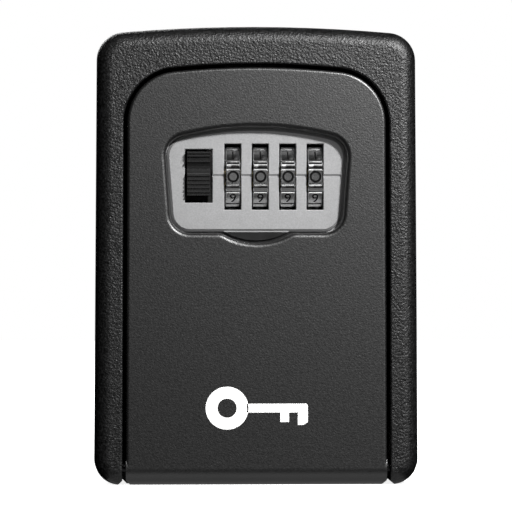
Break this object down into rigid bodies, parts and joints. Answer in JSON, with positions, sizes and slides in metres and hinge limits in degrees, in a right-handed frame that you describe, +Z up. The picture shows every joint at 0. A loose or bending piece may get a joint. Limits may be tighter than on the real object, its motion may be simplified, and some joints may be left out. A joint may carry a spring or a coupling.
{
  "type": "wall key lock box",
  "caption": "Wall-mounted key lock box: cast case with a hinged drop-down door, combination dials, thumb slider latch and reset lever.",
  "frame": {"origin": "centre of the four wall holes on the flat back face", "axes": "+Z up, +X to the right seen from the front, +Y from the front into the wall"},
  "size_m": [0.085, 0.04, 0.12],
  "materials": {
    "textured_case": "textured black powder coat",
    "satin_door": "smooth satin black",
    "silver_plate": "satin silver grey",
    "chrome_dial": "bright plated with raised digits",
    "black_grip": "matte",
    "pin_steel": "ground",
    "spring_steel": "drawn wire and strip",
    "zinc_frame": "zinc plated sheet",
    "black_steel": "black oxide",
    "sleeve_brass": "turned",
    "screw_steel": "zinc plated",
    "cover_plastic": "moulded, fine texture",
    "reset_plastic": "moulded grey"
  },
  "bodies": {
    "case": {"body_shell": "textured_case", "hinge_pin_left": "black_steel", "hinge_pin_right": "black_steel"},
    "door": {"door_panel": "satin_door", "faceplate": "silver_plate", "faceplate_screws": "screw_steel", "spindle": "pin_steel", "spindle_clips": "spring_steel", "lock_frame": "zinc_frame", "frame_screws": "screw_steel", "detent_spring": "spring_steel", "detent_rivets": "screw_steel", "back_cover": "cover_plastic", "cover_screws": "screw_steel", "latch_spring": "spring_steel", "reset_spring": "spring_steel"},
    "latch": {"latch_plate": "black_steel", "latch_bolt": "black_steel", "latch_rivets": "screw_steel", "open_slider": "black_grip", "slider_screw": "screw_steel"},
    "lever": {"reset_lever": "reset_plastic"},
    "carrier": {"reset_carrier": "zinc_frame"},
    "wheel_1": {"dial_1": "chrome_dial"},
    "cam_1": {"sleeve_1": "sleeve_brass"},
    "wheel_2": {"dial_2": "chrome_dial"},
    "cam_2": {"sleeve_2": "sleeve_brass"},
    "wheel_3": {"dial_3": "chrome_dial"},
    "cam_3": {"sleeve_3": "sleeve_brass"},
    "wheel_4": {"dial_4": "chrome_dial"},
    "cam_4": {"sleeve_4": "sleeve_brass"}
  },
  "joints": [
    {"name": "door_hinge", "type": "hinge", "parent": "case", "child": "door", "pos_m": [0, -0.0355, -0.0555], "axis": [1, 0, 0], "range_deg": [0, 90]},
    {"name": "latch_slide", "type": "slide", "parent": "door", "child": "latch", "axis": [0, 0, -1], "range_m": [0, 0.0017], "stiffness_N_per_m": 300, "springref_m": -0.004, "deforming": ["latch_spring"]},
    {"name": "reset_turn", "type": "hinge", "parent": "door", "child": "lever", "pos_m": [-0.001, -0.0119, 0.022], "axis": [0, -1, 0], "range_deg": [0, 30]},
    {"name": "reset_shift", "type": "slide", "parent": "door", "child": "carrier", "axis": [1, 0, 0], "range_m": [0, 0.0015], "deforming": ["reset_spring"]},
    {"name": "dial_1_turn", "type": "hinge", "parent": "door", "child": "wheel_1", "pos_m": [-0.0061, -0.0282, 0.0207], "axis": [1, 0, 0], "continuous": true},
    {"name": "sleeve_1_turn", "type": "hinge", "parent": "carrier", "child": "cam_1", "pos_m": [-0.0061, -0.0282, 0.0207], "axis": [1, 0, 0], "continuous": true},
    {"name": "dial_2_turn", "type": "hinge", "parent": "door", "child": "wheel_2", "pos_m": [0.0011, -0.0282, 0.0207], "axis": [1, 0, 0], "continuous": true},
    {"name": "sleeve_2_turn", "type": "hinge", "parent": "carrier", "child": "cam_2", "pos_m": [0.0011, -0.0282, 0.0207], "axis": [1, 0, 0], "continuous": true},
    {"name": "dial_3_turn", "type": "hinge", "parent": "door", "child": "wheel_3", "pos_m": [0.0083, -0.0282, 0.0207], "axis": [1, 0, 0], "continuous": true},
    {"name": "sleeve_3_turn", "type": "hinge", "parent": "carrier", "child": "cam_3", "pos_m": [0.0083, -0.0282, 0.0207], "axis": [1, 0, 0], "continuous": true},
    {"name": "dial_4_turn", "type": "hinge", "parent": "door", "child": "wheel_4", "pos_m": [0.0155, -0.0282, 0.0207], "axis": [1, 0, 0], "continuous": true},
    {"name": "sleeve_4_turn", "type": "hinge", "parent": "carrier", "child": "cam_4", "pos_m": [0.0155, -0.0282, 0.0207], "axis": [1, 0, 0], "continuous": true}
  ],
  "couplings": [
    {"joint": "reset_turn", "follows": "reset_shift", "rad_per_m": 349},
    {"joint": "sleeve_1_turn", "follows": "dial_1_turn", "ratio": 1},
    {"joint": "sleeve_2_turn", "follows": "dial_2_turn", "ratio": 1},
    {"joint": "sleeve_3_turn", "follows": "dial_3_turn", "ratio": 1},
    {"joint": "sleeve_4_turn", "follows": "dial_4_turn", "ratio": 1}
  ]
}
